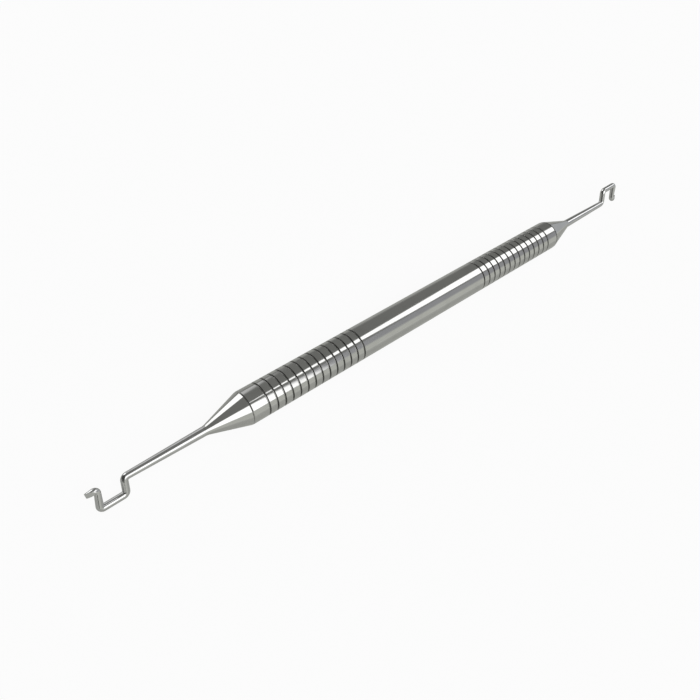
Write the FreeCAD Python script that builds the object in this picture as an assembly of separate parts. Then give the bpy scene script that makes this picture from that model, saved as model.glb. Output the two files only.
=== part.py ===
import FreeCAD, Part
import math
import os

from FreeCAD import Vector

# Double-ended steel hand tool, in millimetres
# +X runs along the handle towards the far end, and +Z is up with the tool lying on a table

# Handle tube
handle_diameter = 8.0
handle_length = 104.5
handle_bore_diameter = 6.0
handle_edge_break = 0.22

# Turned grip grooves, counted from each end of the handle
groove_count = 14
groove_pitch = 2.08
groove_width = 0.44
groove_floor_width = 0.24
groove_depth = 0.36
end_band_length = 4.15

# Ferrule: a cone outside the handle and a spigot inside it
cone_base_inset = 0.05
cone_length = 9.55
cone_blend_length = 0.5
nose_diameter = 2.14
seam_relief_width = 0.12
seam_relief_depth = 0.2
spigot_length = 10.0
spigot_clearance = 0.02
spigot_lead_chamfer = 0.4

# Tip: a root pin in the ferrule, then one tapered and bent rod
root_pin_diameter = 1.2
root_pin_length = 9.0
root_pin_clearance = 0.02
root_pin_end_gap = 0.3
shank_length = 17.9
rod_diameter = 1.54
bend_radius = 0.95
tight_bend_radius = 0.6

# Crank of the rod: two legs, the run between them and the stub that ends the rod
first_leg_rise = 3.78
first_leg_lean = 0.6
run_length = 5.6
run_rise = 0.09
second_leg_drop = 4.44
second_leg_lean = 0.88
second_leg_side_step = 0.06
stub_length = 2.33
stub_rise = 0.16
stub_root_diameter = 1.36
stub_end_diameter = 1.16

# Flat ground on one side of the stub, sloping down to a thin end
flat_length = 1.75
flat_end_thickness = 0.5

# How the tool lies: the crank plane is rolled from upright until the handle touches the table
rest_roll_degrees = 35.0

handle_radius = handle_diameter / 2
handle_bore_radius = handle_bore_diameter / 2
cone_base_radius = handle_radius - cone_base_inset
nose_radius = nose_diameter / 2
ferrule_length = cone_length + cone_blend_length
root_pin_radius = root_pin_diameter / 2
rod_radius = rod_diameter / 2
shoulder_x = handle_length / 2

along = Vector(1, 0, 0)
tool_axis = Vector(0, 0, handle_radius)


def point(x, radius):
    return Vector(x, 0, radius)


def line(start, end):
    return Part.LineSegment(start, end).toShape()


def closed_lines(points):
    return [line(start, end) for start, end in zip(points, points[1:] + points[:1])]


def turned(edges):
    face = Part.Face(Part.Wire(edges))
    return face.revolve(Vector(0, 0, 0), along, 360)


def groove_outline(centre_x):
    floor_radius = handle_radius - groove_depth
    return [
        point(centre_x - groove_width / 2, handle_radius),
        point(centre_x - groove_floor_width / 2, floor_radius),
        point(centre_x + groove_floor_width / 2, floor_radius),
        point(centre_x + groove_width / 2, handle_radius),
    ]


def handle_tube():
    outermost = shoulder_x - end_band_length
    far_grooves = [outermost - groove_pitch * number for number in range(groove_count)]
    near_grooves = [-centre_x for centre_x in far_grooves]
    outside = [
        point(-shoulder_x, handle_radius - handle_edge_break),
        point(-shoulder_x + handle_edge_break, handle_radius),
    ]
    for centre_x in sorted(near_grooves + far_grooves):
        outside += groove_outline(centre_x)
    outside += [
        point(shoulder_x - handle_edge_break, handle_radius),
        point(shoulder_x, handle_radius - handle_edge_break),
    ]
    inside = [
        point(shoulder_x, handle_bore_radius),
        point(-shoulder_x, handle_bore_radius),
    ]
    return turned(closed_lines(outside + inside))


def cone_edges():
    relief_end_x = shoulder_x + seam_relief_width
    relief_floor = point(relief_end_x, cone_base_radius - seam_relief_depth)
    base = point(relief_end_x, cone_base_radius)
    corner = point(shoulder_x + cone_length, nose_radius)
    nose = point(shoulder_x + ferrule_length, nose_radius)
    slope = (base - corner).normalize()
    blend_start = corner + slope * cone_blend_length
    half_turn = slope.getAngle(along) / 2
    bisector = (slope + along).normalize()
    blend_radius = cone_blend_length * math.tan(half_turn)
    centre_distance = cone_blend_length / math.cos(half_turn)
    blend_middle = corner + bisector * (centre_distance - blend_radius)
    return [
        line(relief_floor, base),
        line(base, blend_start),
        Part.Arc(blend_start, blend_middle, nose).toShape(),
    ]


def ferrule():
    spigot_radius = handle_bore_radius - spigot_clearance
    spigot_end_x = shoulder_x - spigot_length
    hole_radius = root_pin_radius + root_pin_clearance
    hole_end_x = shoulder_x + ferrule_length - root_pin_length - root_pin_end_gap
    below_cone = [
        point(shoulder_x + ferrule_length, nose_radius),
        point(shoulder_x + ferrule_length, hole_radius),
        point(hole_end_x, hole_radius),
        point(hole_end_x, 0),
        point(spigot_end_x, 0),
        point(spigot_end_x, spigot_radius - spigot_lead_chamfer),
        point(spigot_end_x + spigot_lead_chamfer, spigot_radius),
        point(shoulder_x, spigot_radius),
        point(shoulder_x, cone_base_radius - seam_relief_depth),
        point(shoulder_x + seam_relief_width, cone_base_radius - seam_relief_depth),
    ]
    return turned(cone_edges() + [line(start, end) for start, end in zip(below_cone, below_cone[1:])])


def rod_corners():
    root = Vector(shoulder_x + ferrule_length, 0, 0)
    first = root + Vector(shank_length, 0, 0)
    second = first + Vector(first_leg_lean, 0, first_leg_rise)
    third = second + Vector(run_length, 0, run_rise)
    fourth = third + Vector(-second_leg_lean, second_leg_side_step, -second_leg_drop)
    end = fourth + Vector(stub_length, 0, stub_rise)
    return [root, first, second, third, fourth, end]


def straight(start, end, start_radius, end_radius):
    length = (end - start).Length
    if abs(start_radius - end_radius) < Part.Precision.confusion():
        return Part.makeCylinder(start_radius, length, start, end - start)
    return Part.makeCone(start_radius, end_radius, length, start, end - start)


def bend_section(start, outward, hinge, radius, turn_radius):
    """The rod's section where a bend starts, without what lies beyond the hinge of a tight bend."""
    if radius <= turn_radius:
        return Part.Circle(start, outward.cross(hinge), radius).toShape()
    half_chord = math.sqrt(radius * radius - turn_radius * turn_radius)
    centre = start - outward * turn_radius
    one_side = centre + hinge * half_chord
    other_side = centre - hinge * half_chord
    return [Part.Arc(one_side, start + outward * radius, other_side).toShape(), line(other_side, one_side)]


def bend(corner, arriving, leaving, radius, turn_radius):
    turn = arriving.getAngle(leaving)
    setback = turn_radius * math.tan(turn / 2)
    start = corner - arriving * setback
    hinge = arriving.cross(leaving).normalize()
    outward = arriving.cross(hinge)
    centre = start - outward * turn_radius
    section = Part.Face(Part.Wire(bend_section(start, outward, hinge, radius, turn_radius)))
    solid = section.revolve(centre, hinge, math.degrees(turn))
    return start, solid, corner + leaving * setback


def flat_cutter(stub_axis_start, stub_end):
    """The wedge of metal that is ground off the stub, on the side towards -Y."""
    clear = rod_diameter
    skin = stub_axis_start.y - stub_root_diameter / 2
    start = Vector(stub_end.x - flat_length, skin, stub_end.z - clear / 2)
    end = Vector(stub_end.x, stub_end.y + stub_end_diameter / 2 - flat_end_thickness, start.z)
    overrun = (end - start) * (clear / flat_length)
    before = start - overrun
    after = end + overrun
    outline = [before, after, Vector(after.x, before.y, start.z)]
    wedge = Part.Face(Part.Wire(closed_lines(outline)))
    return wedge.extrude(Vector(0, 0, clear))


def tip():
    corners = rod_corners()
    runs = list(zip(corners, corners[1:]))
    directions = [(end - start).normalize() for start, end in runs]
    stub_root_radius = stub_root_diameter / 2
    bends = [
        (rod_radius, bend_radius),
        (rod_radius, bend_radius),
        (rod_radius, tight_bend_radius),
        (stub_root_radius, tight_bend_radius),
    ]
    pieces = []
    reached = corners[0]
    reached_radius = nose_radius
    for corner, arriving, leaving, sizes in zip(corners[1:], directions, directions[1:], bends):
        radius, turn_radius = sizes
        start, elbow, end = bend(corner, arriving, leaving, radius, turn_radius)
        pieces.append(straight(reached, start, reached_radius, radius))
        pieces.append(elbow)
        reached = end
        reached_radius = radius
    pieces.append(straight(reached, corners[-1], reached_radius, stub_end_diameter / 2))
    pin_start = corners[0] - along * root_pin_length
    pin = straight(pin_start, corners[0], root_pin_radius, root_pin_radius)
    rod = pin.multiFuse(pieces).removeSplitter()
    return rod.cut(flat_cutter(corners[-2], corners[-1])).Solids[0]


def lay_down(shape):
    laid = shape.copy()
    laid.rotate(Vector(0, 0, 0), along, -rest_roll_degrees)
    laid.translate(tool_axis)
    return laid


def other_end(shape):
    roll = math.radians(rest_roll_degrees)
    crank_normal = Vector(0, -math.cos(roll), math.sin(roll))
    turned_round = shape.copy()
    turned_round.rotate(tool_axis, crank_normal, 180)
    return turned_round


os.makedirs("parts", exist_ok=True)
far_ferrule = lay_down(ferrule())
far_tip = lay_down(tip())
nodes = {
    "handle_tube": lay_down(handle_tube()),
    "far_ferrule": far_ferrule,
    "far_tip": far_tip,
    "near_ferrule": other_end(far_ferrule),
    "near_tip": other_end(far_tip),
}
for name, solid in nodes.items():
    solid.exportStep(f"parts/{name}.step")
    box = solid.BoundBox
    print(name, solid.ShapeType, len(solid.Solids), solid.isValid(), round(solid.Volume, 3))
    print(round(box.XMin, 3), round(box.YMin, 3), round(box.ZMin, 3))
    print(round(box.XMax, 3), round(box.YMax, 3), round(box.ZMax, 3))
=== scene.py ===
import math

import bmesh
import bpy
from mathutils import Matrix, Vector


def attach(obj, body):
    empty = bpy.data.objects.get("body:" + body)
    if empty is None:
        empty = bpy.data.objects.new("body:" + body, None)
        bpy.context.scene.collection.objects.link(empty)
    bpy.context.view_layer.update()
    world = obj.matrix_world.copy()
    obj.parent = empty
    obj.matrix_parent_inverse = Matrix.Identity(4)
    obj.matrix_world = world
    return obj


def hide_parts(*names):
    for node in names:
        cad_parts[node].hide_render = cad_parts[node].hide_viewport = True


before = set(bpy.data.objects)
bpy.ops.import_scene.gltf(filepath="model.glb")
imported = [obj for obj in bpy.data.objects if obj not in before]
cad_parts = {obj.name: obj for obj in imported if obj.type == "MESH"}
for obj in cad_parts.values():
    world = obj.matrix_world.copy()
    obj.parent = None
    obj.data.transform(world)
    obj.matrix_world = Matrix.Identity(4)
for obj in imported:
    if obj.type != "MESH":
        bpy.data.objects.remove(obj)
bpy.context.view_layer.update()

# Double-ended steel hand tool, in metres, with the sizes of the solids
MM = 0.001

handle_radius = 4.0 * MM
handle_length = 104.5 * MM
handle_bore_radius = 3.0 * MM
handle_edge_break = 0.22 * MM
groove_count = 14
groove_pitch = 2.08 * MM
groove_width = 0.44 * MM
groove_floor_width = 0.24 * MM
groove_depth = 0.36 * MM
groove_edge = 0.02 * MM
end_band_length = 4.15 * MM

cone_base_inset = 0.05 * MM
cone_length = 9.55 * MM
cone_blend_length = 0.5 * MM
nose_radius = 1.07 * MM
seam_relief_width = 0.12 * MM
seam_relief_depth = 0.2 * MM
spigot_length = 10.0 * MM
spigot_clearance = 0.02 * MM
spigot_lead_chamfer = 0.4 * MM

root_pin_radius = 0.6 * MM
root_pin_length = 9.0 * MM
root_pin_clearance = 0.02 * MM
root_pin_end_gap = 0.3 * MM
shank_length = 17.9 * MM
rod_radius = 0.77 * MM
bend_radius = 0.95 * MM
tight_bend_radius = 0.6 * MM

first_leg_rise = 3.78 * MM
first_leg_lean = 0.6 * MM
run_length = 5.6 * MM
run_rise = 0.09 * MM
second_leg_drop = 4.44 * MM
second_leg_lean = 0.88 * MM
second_leg_side_step = 0.06 * MM
stub_length = 2.33 * MM
stub_rise = 0.16 * MM
stub_root_radius = 0.68 * MM
stub_end_radius = 0.58 * MM
stub_edge_break = 0.05 * MM
flat_length = 1.75 * MM
flat_end_thickness = 0.5 * MM

rest_roll = math.radians(35.0)

# Mesh fineness
turned_segments = 192
rod_segments = 96
blend_steps = 24
bend_steps = 24
stub_steps = 32
edge_steps = 4
sharp_angle = math.radians(20.0)
merge_distance = 1e-7

shoulder_x = handle_length / 2
cone_base_radius = handle_radius - cone_base_inset
ferrule_length = cone_length + cone_blend_length
nose_x = shoulder_x + ferrule_length

# The far end lies in the frame by this turn and lift, and the near end is half a turn from it
lift = Matrix.Translation((0, 0, handle_radius))
far_end = lift @ Matrix.Rotation(-rest_roll, 4, "X")
crank_normal = Vector((0, -math.cos(rest_roll), math.sin(rest_roll)))
near_end = lift @ Matrix.Rotation(math.pi, 4, crank_normal) @ lift.inverted() @ far_end


def merge_folded_points(mesh):
    work = bmesh.new()
    work.from_mesh(mesh)
    bmesh.ops.remove_doubles(work, verts=work.verts, dist=merge_distance)
    work.to_mesh(mesh)
    work.free()


def new_piece(name, points, faces, recesses, place, node, slot_name, material):
    mesh = bpy.data.meshes.new(name)
    mesh.from_pydata([place @ Vector(point) for point in points], [], faces)
    recess = mesh.attributes.new("recess", "FLOAT", "POINT")
    recess.data.foreach_set("value", recesses)
    merge_folded_points(mesh)
    mesh.materials.append(material)
    mesh.shade_smooth()
    mesh.set_sharp_from_angle(angle=sharp_angle)
    piece = bpy.data.objects.new(name, mesh)
    bpy.context.scene.collection.objects.link(piece)
    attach(piece, "root")
    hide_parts(node)
    return piece


# The recess value of a point darkens the steel there with painted shade, and makes it rougher
def turned_mesh(profile):
    """Turns a closed outline of (x, radius, recess) about the X axis, with a pole at zero radius."""
    points = []
    recesses = []
    rows = []
    for x, radius, recess in profile:
        if radius > 0:
            rows.append(list(range(len(points), len(points) + turned_segments)))
            for step in range(turned_segments):
                angle = math.tau * step / turned_segments
                points.append((x, radius * math.sin(angle), radius * math.cos(angle)))
                recesses.append(recess)
        else:
            rows.append([len(points)] * turned_segments)
            points.append((x, 0, 0))
            recesses.append(recess)
    faces = []
    for row, following in zip(rows, rows[1:] + rows[:1]):
        for step in range(turned_segments):
            turn = (step + 1) % turned_segments
            corners = [row[step], row[turn], following[turn], following[step]]
            face = list(dict.fromkeys(corners))
            if len(face) > 2:
                faces.append(face)
    return points, faces, recesses


def groove_profile(centre_x):
    floor_radius = handle_radius - groove_depth
    return [
        (centre_x - groove_width / 2 - groove_edge, handle_radius, 0.0),
        (centre_x - groove_width / 2, handle_radius - groove_edge, 1.0),
        (centre_x - groove_floor_width / 2, floor_radius, 1.0),
        (centre_x + groove_floor_width / 2, floor_radius, 1.0),
        (centre_x + groove_width / 2, handle_radius - groove_edge, 1.0),
        (centre_x + groove_width / 2 + groove_edge, handle_radius, 0.0),
    ]


def handle_profile():
    outermost = shoulder_x - end_band_length
    far_grooves = [outermost - groove_pitch * number for number in range(groove_count)]
    near_grooves = [-centre_x for centre_x in far_grooves]
    profile = [
        (-shoulder_x, handle_radius - handle_edge_break, 1.0),
        (-shoulder_x + handle_edge_break, handle_radius, 0.0),
    ]
    for centre_x in sorted(near_grooves + far_grooves):
        profile += groove_profile(centre_x)
    profile += [
        (shoulder_x - handle_edge_break, handle_radius, 0.0),
        (shoulder_x, handle_radius - handle_edge_break, 1.0),
        (shoulder_x, handle_bore_radius, 1.0),
        (-shoulder_x, handle_bore_radius, 1.0),
    ]
    return profile


def cone_profile():
    drop = cone_base_radius - nose_radius
    base_x = shoulder_x + seam_relief_width
    half_angle = math.atan2(drop, shoulder_x + cone_length - base_x)
    blend_radius = cone_blend_length / math.tan(half_angle / 2)
    centre_x = nose_x
    centre_radius = nose_radius + blend_radius
    relief_radius = cone_base_radius - seam_relief_depth
    profile = [
        (shoulder_x, relief_radius, 1.0),
        (base_x, relief_radius, 1.0),
        (base_x, cone_base_radius - groove_edge, 1.0),
        (base_x, cone_base_radius, 0.0),
        (base_x + groove_edge, cone_base_radius - groove_edge * math.tan(half_angle), 0.0),
    ]
    for step in range(blend_steps + 1):
        angle = half_angle * (1 - step / blend_steps)
        x = centre_x - blend_radius * math.sin(angle)
        radius = centre_radius - blend_radius * math.cos(angle)
        profile.append((x, radius, 0.0))
    return profile


def ferrule_profile():
    spigot_radius = handle_bore_radius - spigot_clearance
    spigot_end_x = shoulder_x - spigot_length
    hole_radius = root_pin_radius + root_pin_clearance
    hole_end_x = nose_x - root_pin_length - root_pin_end_gap
    return cone_profile() + [
        (nose_x, hole_radius, 1.0),
        (hole_end_x, hole_radius, 1.0),
        (hole_end_x, 0.0, 1.0),
        (spigot_end_x, 0.0, 1.0),
        (spigot_end_x, spigot_radius - spigot_lead_chamfer, 1.0),
        (spigot_end_x + spigot_lead_chamfer, spigot_radius, 1.0),
        (shoulder_x, spigot_radius, 1.0),
    ]


def rod_corners():
    root = Vector((nose_x, 0, 0))
    first = root + Vector((shank_length, 0, 0))
    second = first + Vector((first_leg_lean, 0, first_leg_rise))
    third = second + Vector((run_length, 0, run_rise))
    fourth = third + Vector((-second_leg_lean, second_leg_side_step, -second_leg_drop))
    end = fourth + Vector((stub_length, 0, stub_rise))
    return [root, first, second, third, fourth, end]


def bend_stations(corner, arriving, leaving, radius, turn_radius):
    """Lists (centre, direction, radius, fold), where the fold says how a tight bend creases on its inside."""
    turn = arriving.angle(leaving)
    setback = turn_radius * math.tan(turn / 2)
    hinge = arriving.cross(leaving).normalized()
    start = corner - arriving * setback
    centre = start + hinge.cross(arriving) * turn_radius
    crease = (corner - centre).normalized() / math.cos(turn / 2)
    stations = []
    for step in range(bend_steps + 1):
        spin = Matrix.Rotation(turn * step / bend_steps, 3, hinge)
        outward = spin @ (start - centre)
        fold = (centre, outward.normalized(), hinge, crease)
        stations.append((centre + outward, spin @ arriving, radius, fold))
    return stations


def rod_stations():
    """Lists (centre, direction, radius, fold) from the root pin's end to the stub's end."""
    corners = rod_corners()
    directions = [(end - start).normalized() for start, end in zip(corners, corners[1:])]
    root_direction = directions[0]
    pin_start = corners[0] - root_direction * root_pin_length
    stations = [
        (pin_start, root_direction, 0.0, None),
        (pin_start, root_direction, root_pin_radius, None),
        (corners[0], root_direction, root_pin_radius, None),
        (corners[0], root_direction, nose_radius, None),
    ]
    bends = [
        (rod_radius, bend_radius),
        (rod_radius, bend_radius),
        (rod_radius, tight_bend_radius),
        (stub_root_radius, tight_bend_radius),
    ]
    for number, (radius, turn_radius) in enumerate(bends):
        arriving, leaving = directions[number:number + 2]
        stations += bend_stations(corners[number + 1], arriving, leaving, radius, turn_radius)
    last = directions[-1]
    stub_start = stations[-1][0]
    for step in range(1, stub_steps):
        share = step / stub_steps
        radius = stub_root_radius + (stub_end_radius - stub_root_radius) * share
        stations.append((stub_start.lerp(corners[-1] - last * stub_edge_break, share), last, radius, None))
    for step in range(edge_steps + 1):
        angle = math.pi / 2 * step / edge_steps
        back = stub_edge_break * (1 - math.sin(angle))
        inset = stub_edge_break * (1 - math.cos(angle))
        stations.append((corners[-1] - last * back, last, stub_end_radius - inset, None))
    stations.append((corners[-1], last, 0.0, None))
    return stations


def creased(point, fold):
    """Moves a point that a tight bend would fold over to the crease on the inside of the bend."""
    centre, outward, hinge, crease = fold
    offset = point - centre
    distance = offset.dot(outward)
    if distance >= 0:
        return point
    return centre + crease * distance + hinge * offset.dot(hinge)


def ground(point):
    """Moves a point of the stub back to the flat that is ground on its -Y side."""
    axis_start, axis_end = rod_corners()[-2:]
    flat_start = axis_end.x - flat_length
    if point.x < flat_start or abs(point.z - axis_end.z) > rod_radius:
        return point
    skin = axis_start.y - stub_root_radius
    end_y = axis_end.y + stub_end_radius - flat_end_thickness
    flat_y = skin + (end_y - skin) * (point.x - flat_start) / flat_length
    return Vector((point.x, max(point.y, flat_y), point.z))


def rod_mesh():
    points = []
    recesses = []
    rows = []
    side = Vector((0, 1, 0))
    previous = None
    for centre, direction, radius, fold in rod_stations():
        if previous is not None:
            side = previous.rotation_difference(direction) @ side
        previous = direction
        upward = direction.cross(side)
        if radius == 0:
            rows.append([len(points)] * rod_segments)
            points.append(tuple(ground(centre)))
            recesses.append(0.0)
            continue
        rows.append(list(range(len(points), len(points) + rod_segments)))
        for step in range(rod_segments):
            angle = math.tau * step / rod_segments
            point = centre + (side * math.cos(angle) + upward * math.sin(angle)) * radius
            if fold:
                point = creased(point, fold)
            points.append(tuple(ground(point)))
            recesses.append(0.0)
    faces = []
    for row, following in zip(rows, rows[1:]):
        for step in range(rod_segments):
            turn = (step + 1) % rod_segments
            corners = [row[step], row[turn], following[turn], following[step]]
            face = list(dict.fromkeys(corners))
            if len(face) > 2:
                faces.append(face)
    return points, faces, recesses


class Nodes:
    """Adds nodes to a tree and returns their outputs, so that a shader reads as a formula."""

    def __init__(self, tree):
        self.tree = tree
        tree.nodes.clear()

    def add(self, kind, **settings):
        node = self.tree.nodes.new(kind)
        for name, value in settings.items():
            setattr(node, name, value)
        return node

    def plug(self, socket, value):
        if isinstance(value, bpy.types.NodeSocket):
            self.tree.links.new(value, socket)
        else:
            socket.default_value = value

    def math(self, operation, first, second=0.0):
        node = self.add("ShaderNodeMath", operation=operation)
        self.plug(node.inputs[0], first)
        self.plug(node.inputs[1], second)
        return node.outputs[0]

    def dot(self, vector, constant):
        node = self.add("ShaderNodeVectorMath", operation="DOT_PRODUCT")
        self.plug(node.inputs[0], vector)
        self.plug(node.inputs[1], constant)
        return node.outputs["Value"]

    def ramp(self, value, low, high, at_low=0.0, at_high=1.0):
        node = self.add("ShaderNodeMapRange", interpolation_type="SMOOTHSTEP")
        for socket, number in zip(node.inputs, (value, low, high, at_low, at_high)):
            self.plug(socket, number)
        return node.outputs[0]

    def mix(self, share, first, second):
        node = self.add("ShaderNodeMix", data_type="RGBA")
        self.plug(node.inputs["Factor"], share)
        self.plug(node.inputs[6], first)
        self.plug(node.inputs[7], second)
        return node.outputs[2]


# Finish of the steel: fine turning lines, cloudy tarnish, and painted shade that darkens the recesses
line_detail = 3.0
cloud_scale = 260.0
cloud_detail = 4.0
tarnish_range = (0.35, 0.75)
tarnish_share = 0.10
# How much painted shade darkens the grooves, the seam and the bore
recess_painted_shade_share = 0.5
recess_roughness = 0.25
# The darker steel colour, used both for the tarnish and for the painted shade in the recesses
tarnish_and_shade_share = (0.3, 0.3, 0.29)
polish_range = (0.3, 0.7)
polish_spread = (0.8, 1.3)

# Faint tints of the studio
WHITE = (1.0, 1.0, 1.0)
GREEN = (0.985, 1.0, 0.93)
DARK = (0.99, 1.0, 0.955)
BLUE = (0.98, 0.99, 1.03)
PALE_BLUE = (0.97, 1.0, 1.03)

# Ceiling of the studio: its brightness and tint
CEILING = (0.225, DARK)

# Walls of the studio: the azimuths in degrees where each begins and is full, its brightness and tint
WALLS = [
    (86, 120, 0.52, GREEN),
    (-20, -34, 0.41, BLUE),
    (-55, -72, 0.66, GREEN),
    (-80, -120, 0.46, GREEN),
]

# Walls past the tool's two ends: the parts along +X where each begins and is full
FAR_WALL = (0.76, 0.84, 0.55, PALE_BLUE)
near_wall_edge = (-0.36, -0.46)
NEAR_WALL = (0.08, DARK)
NEAR_WALL_FRONT = (-50, -66, 0.17, GREEN)

# A shade and four light panels over the walls: brightness, tint, and corners by azimuth and part along +X
PANELS = [
    (0.20, DARK, [(24, 0.70), (78, 0.70), (78, 0.86), (24, 0.86)]),
    (1.9, WHITE, [(-64, -0.40), (-20, -0.40), (-20, 0.36), (-64, 0.455)]),
    (1.9, WHITE, [(-5, 0.33), (-21, 0.60), (-17, 0.83), (9, 0.83), (21, 0.672)]),
    (0.75, WHITE, [(52, -0.06), (130, -0.06), (130, 0.315), (52, 0.315)]),
    (1.8, WHITE, [(47, -0.40), (104, -0.40), (104, 0.00), (47, 0.00)]),
]
panel_softness = 0.03
backdrop_level = 0.98

# Floor, and the strips in front of the tool and behind it where its mirrored brightness changes
floor_reach = 4.0
floor_pale = 0.85
floor_white_share = 0.94
floor_mirrored_share = 0.8
floor_middle = 0.005
FRONT_FLOOR = (-0.005, -0.060, (0.47, GREEN), (0.70, GREEN))
BACK_FLOOR = (0.010, 0.070, (0.43, GREEN), (0.20, DARK))

# Camera, fitted to the photograph
camera_sensor = 36.0
camera_lens = 36.0
camera_clip = (0.005, 20.0)
camera_place = (-0.10392, -0.04427, 0.13866)
camera_turn = (31.42, -14.84, -38.96)


def tint(level, shade):
    return (level * shade[0], level * shade[1], level * shade[2], 1.0)


def steel(name, colour, roughness, line_scale, line_stretch, line_depth):
    material = bpy.data.materials.new(name)
    material.use_nodes = True
    nodes = Nodes(material.node_tree)
    shader = nodes.add("ShaderNodeBsdfPrincipled")
    output = nodes.add("ShaderNodeOutputMaterial")
    nodes.plug(output.inputs["Surface"], shader.outputs["BSDF"])
    place = nodes.add("ShaderNodeTexCoord").outputs["Object"]
    stretched = nodes.add("ShaderNodeMapping")
    nodes.plug(stretched.inputs["Vector"], place)
    nodes.plug(stretched.inputs["Scale"], line_stretch)
    lines = nodes.add("ShaderNodeTexNoise")
    nodes.plug(lines.inputs["Vector"], stretched.outputs["Vector"])
    nodes.plug(lines.inputs["Scale"], line_scale)
    nodes.plug(lines.inputs["Detail"], line_detail)
    cloud = nodes.add("ShaderNodeTexNoise")
    nodes.plug(cloud.inputs["Vector"], place)
    nodes.plug(cloud.inputs["Scale"], cloud_scale)
    nodes.plug(cloud.inputs["Detail"], cloud_detail)
    recess = nodes.add("ShaderNodeAttribute", attribute_name="recess").outputs["Fac"]
    tarnish = nodes.ramp(cloud.outputs[0], *tarnish_range, 0.0, tarnish_share)
    # Painted shade: the grooves, the seam and the bore are darkened by their recess value, over the cloudy
    # tarnish
    shade = nodes.math("MAXIMUM", tarnish, nodes.math("MULTIPLY", recess, recess_painted_shade_share))
    tarnish_and_shade_colour = [part * share for part, share in zip(colour, tarnish_and_shade_share)]
    nodes.plug(shader.inputs["Base Color"], nodes.mix(shade, (*colour, 1.0), (*tarnish_and_shade_colour, 1.0)))
    smoothest, roughest = [roughness * share for share in polish_spread]
    polish = nodes.ramp(cloud.outputs[0], *polish_range, smoothest, roughest)
    rough = nodes.math("ADD", polish, nodes.math("MULTIPLY", recess, recess_roughness))
    nodes.plug(shader.inputs["Roughness"], rough)
    bump = nodes.add("ShaderNodeBump")
    nodes.plug(bump.inputs["Height"], lines.outputs[0])
    nodes.plug(bump.inputs["Distance"], line_depth)
    nodes.plug(shader.inputs["Normal"], bump.outputs["Normal"])
    shader.inputs["Metallic"].default_value = 1.0
    return material


def direction_at(azimuth_degrees, along):
    """A direction by its turn about the tool's axis, from up towards the far side, and its part along +X."""
    azimuth = math.radians(azimuth_degrees)
    across = math.sqrt(1 - along * along)
    return Vector((along, across * math.sin(azimuth), across * math.cos(azimuth)))


def softbox(nodes, direction, corners):
    """Where a direction looks at a panel whose corners are given as (azimuth in degrees, part along +X)."""
    panel = [direction_at(*corner) for corner in corners]
    middle = sum(panel, Vector())
    mask = 1.0
    for corner, following in zip(panel, panel[1:] + panel[:1]):
        normal = corner.cross(following).normalized()
        if normal.dot(middle) < 0:
            normal.negate()
        inside = nodes.ramp(nodes.dot(direction, tuple(normal)), -panel_softness, panel_softness)
        mask = nodes.math("MULTIPLY", inside, mask)
    return mask


def with_wall(nodes, colour, wall, place, unit=1.0):
    """Lays a wall over a colour, by the azimuth or the part along +X of what is looked at."""
    begin, full, level, shade = wall
    return nodes.mix(nodes.ramp(place, begin * unit, full * unit), colour, tint(level, shade))


def studio_world():
    world = bpy.data.worlds.new("studio")
    bpy.context.scene.world = world
    world.use_nodes = True
    nodes = Nodes(world.node_tree)
    direction = nodes.add("ShaderNodeTexCoord").outputs["Generated"]
    parts = nodes.add("ShaderNodeSeparateXYZ")
    nodes.plug(parts.inputs[0], direction)
    along, across, upward = parts.outputs
    azimuth = nodes.math("ARCTAN2", across, upward)
    degree = math.radians(1.0)

    colour = tint(*CEILING)
    for wall in WALLS:
        colour = with_wall(nodes, colour, wall, azimuth, degree)
    colour = with_wall(nodes, colour, FAR_WALL, along)
    near_colour = with_wall(nodes, tint(*NEAR_WALL), NEAR_WALL_FRONT, azimuth, degree)
    colour = nodes.mix(nodes.ramp(along, *near_wall_edge), colour, near_colour)
    for level, shade, corners in PANELS:
        colour = nodes.mix(softbox(nodes, direction, corners), colour, tint(level, shade))

    studio = nodes.add("ShaderNodeBackground")
    nodes.plug(studio.inputs["Color"], colour)
    white = nodes.add("ShaderNodeBackground")
    nodes.plug(white.inputs["Color"], tint(backdrop_level, WHITE))
    seen = nodes.add("ShaderNodeLightPath").outputs["Is Camera Ray"]
    choice = nodes.add("ShaderNodeMixShader")
    nodes.plug(choice.inputs["Fac"], seen)
    nodes.plug(choice.inputs[1], studio.outputs[0])
    nodes.plug(choice.inputs[2], white.outputs[0])
    output = nodes.add("ShaderNodeOutputWorld")
    nodes.plug(output.inputs["Surface"], choice.outputs[0])


def floor_glow(nodes, across, strip):
    """The floor's brightness in the steel, which blends from one level to another over a strip."""
    begin, end, at_begin, at_end = strip
    return nodes.mix(nodes.ramp(across, begin, end), tint(*at_begin), tint(*at_end))


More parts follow.
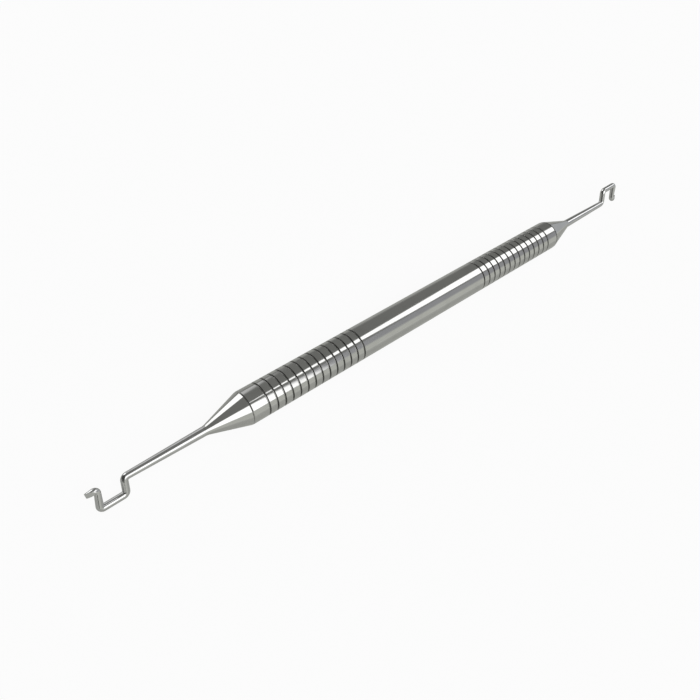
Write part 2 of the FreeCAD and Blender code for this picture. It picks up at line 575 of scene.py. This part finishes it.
def floor():
    mesh = bpy.data.meshes.new("floor")
    corners = [(x * floor_reach, y * floor_reach, 0) for x, y in ((-1, -1), (1, -1), (1, 1), (-1, 1))]
    mesh.from_pydata(corners, [], [(0, 1, 2, 3)])
    plane = bpy.data.objects.new("floor", mesh)
    bpy.context.scene.collection.objects.link(plane)
    material = bpy.data.materials.new("floor")
    material.use_nodes = True
    nodes = Nodes(material.node_tree)
    rays = nodes.add("ShaderNodeLightPath").outputs
    place = nodes.add("ShaderNodeSeparateXYZ")
    nodes.plug(place.inputs[0], nodes.add("ShaderNodeTexCoord").outputs["Object"])
    across = place.outputs[1]
    front_glow = floor_glow(nodes, across, FRONT_FLOOR)
    back_glow = floor_glow(nodes, across, BACK_FLOOR)
    mirrored_glow = nodes.mix(nodes.ramp(across, -floor_middle, floor_middle), front_glow, back_glow)
    pale = nodes.add("ShaderNodeBsdfDiffuse")
    nodes.plug(pale.inputs["Color"], tint(floor_pale, WHITE))
    glow = nodes.add("ShaderNodeEmission")
    nodes.plug(glow.inputs["Color"], nodes.mix(rays["Is Camera Ray"], mirrored_glow, tint(1.0, WHITE)))
    seen_share = nodes.math("MULTIPLY", rays["Is Camera Ray"], floor_white_share)
    mirrored = nodes.math("MAXIMUM", rays["Is Glossy Ray"], rays["Is Transmission Ray"])
    mirrored_share = nodes.math("MULTIPLY", mirrored, floor_mirrored_share)
    blend = nodes.add("ShaderNodeMixShader")
    nodes.plug(blend.inputs["Fac"], nodes.math("MAXIMUM", seen_share, mirrored_share))
    nodes.plug(blend.inputs[1], pale.outputs[0])
    nodes.plug(blend.inputs[2], glow.outputs[0])
    output = nodes.add("ShaderNodeOutputMaterial")
    nodes.plug(output.inputs["Surface"], blend.outputs[0])
    mesh.materials.append(material)


def camera():
    data = bpy.data.cameras.new("camera")
    data.sensor_width = camera_sensor
    data.lens = camera_lens
    data.clip_start, data.clip_end = camera_clip
    eye = bpy.data.objects.new("camera", data)
    eye.location = camera_place
    eye.rotation_euler = [math.radians(angle) for angle in camera_turn]
    bpy.context.scene.collection.objects.link(eye)
    bpy.context.scene.camera = eye


handle_steel = steel(
    "handle_steel",
    colour=(0.60, 0.60, 0.59),
    roughness=0.09,
    line_scale=9000.0,
    line_stretch=(1.0, 0.02, 0.02),
    line_depth=2e-7,
)
ferrule_steel = steel(
    "ferrule_steel",
    colour=(0.60, 0.60, 0.59),
    roughness=0.07,
    line_scale=9000.0,
    line_stretch=(1.0, 0.02, 0.02),
    line_depth=1e-7,
)
tip_steel = steel(
    "tip_steel",
    colour=(0.63, 0.63, 0.63),
    roughness=0.12,
    line_scale=5000.0,
    line_stretch=(0.2, 1.0, 1.0),
    line_depth=5e-8,
)

handle = turned_mesh(handle_profile())
new_piece("handle", *handle, far_end, "handle_tube", "handle_steel", handle_steel)
for end, place in (("near", near_end), ("far", far_end)):
    cone = turned_mesh(ferrule_profile())
    new_piece(f"{end}_cone", *cone, place, f"{end}_ferrule", "ferrule_steel", ferrule_steel)
    rod = rod_mesh()
    new_piece(f"{end}_rod", *rod, place, f"{end}_tip", "tip_steel", tip_steel)

studio_world()
floor()
camera()

bpy.context.scene.view_settings.view_transform = "Standard"
